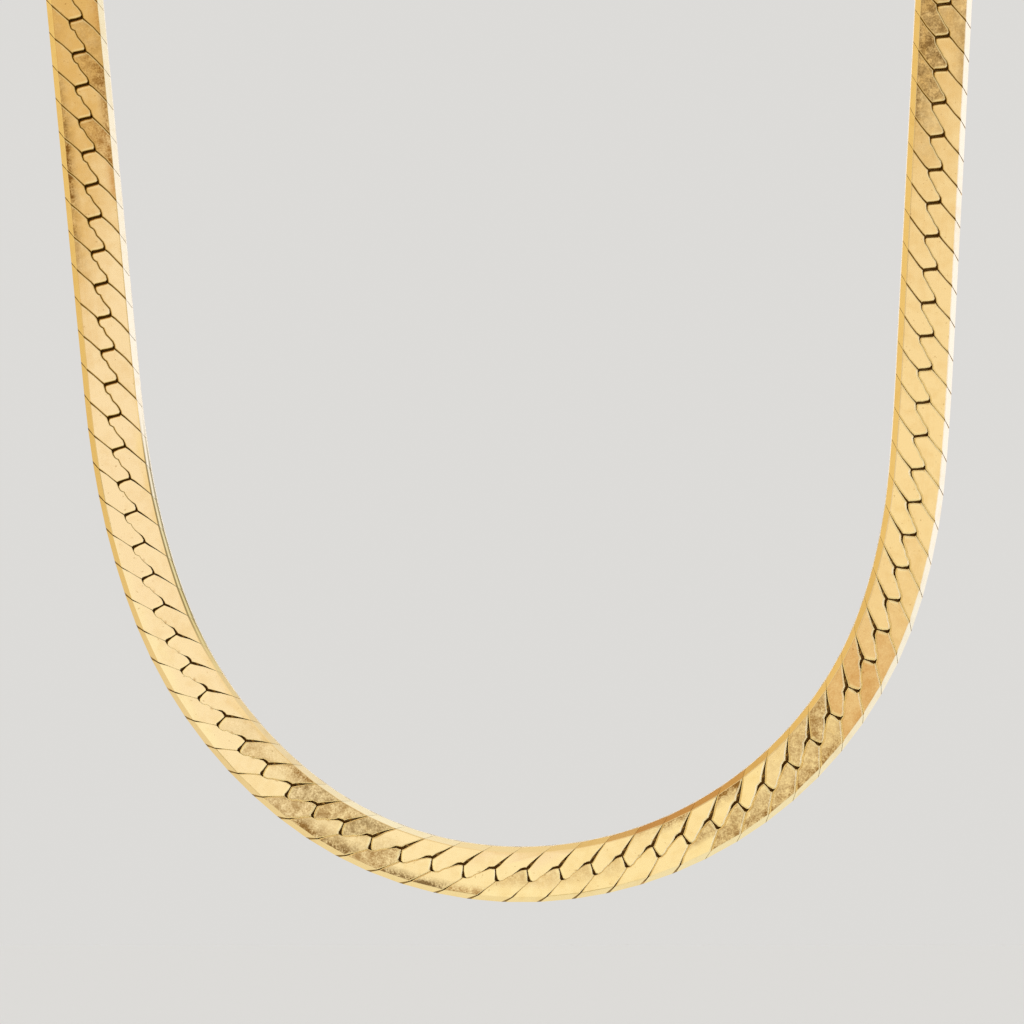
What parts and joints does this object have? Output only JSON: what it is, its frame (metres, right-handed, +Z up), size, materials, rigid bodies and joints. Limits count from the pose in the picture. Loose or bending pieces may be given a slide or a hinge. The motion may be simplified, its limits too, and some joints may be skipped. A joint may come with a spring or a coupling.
{
  "type": "herringbone chain necklace",
  "caption": "Flat bevelled chain necklace of interlocking flat curb links in a herringbone pattern, hanging as a closed loop with a plain clasp.",
  "frame": {"origin": "middle of the clasp's inner edge, where the loop sits on the neck", "axes": "+Z up, along the hanging loop; -Y is the bevelled face that shows; +X to the right seen from the face"},
  "size_m": [0.1155, 0.0026, 0.1749],
  "materials": {
    "gold": "polished gold plate, lightly tarnished",
    "clasp_gold": "polished gold plate"
  },
  "bodies": {
    "root": {"chain_left": "gold", "chain_right": "gold", "clasp": "clasp_gold"}
  },
  "joints": []
}
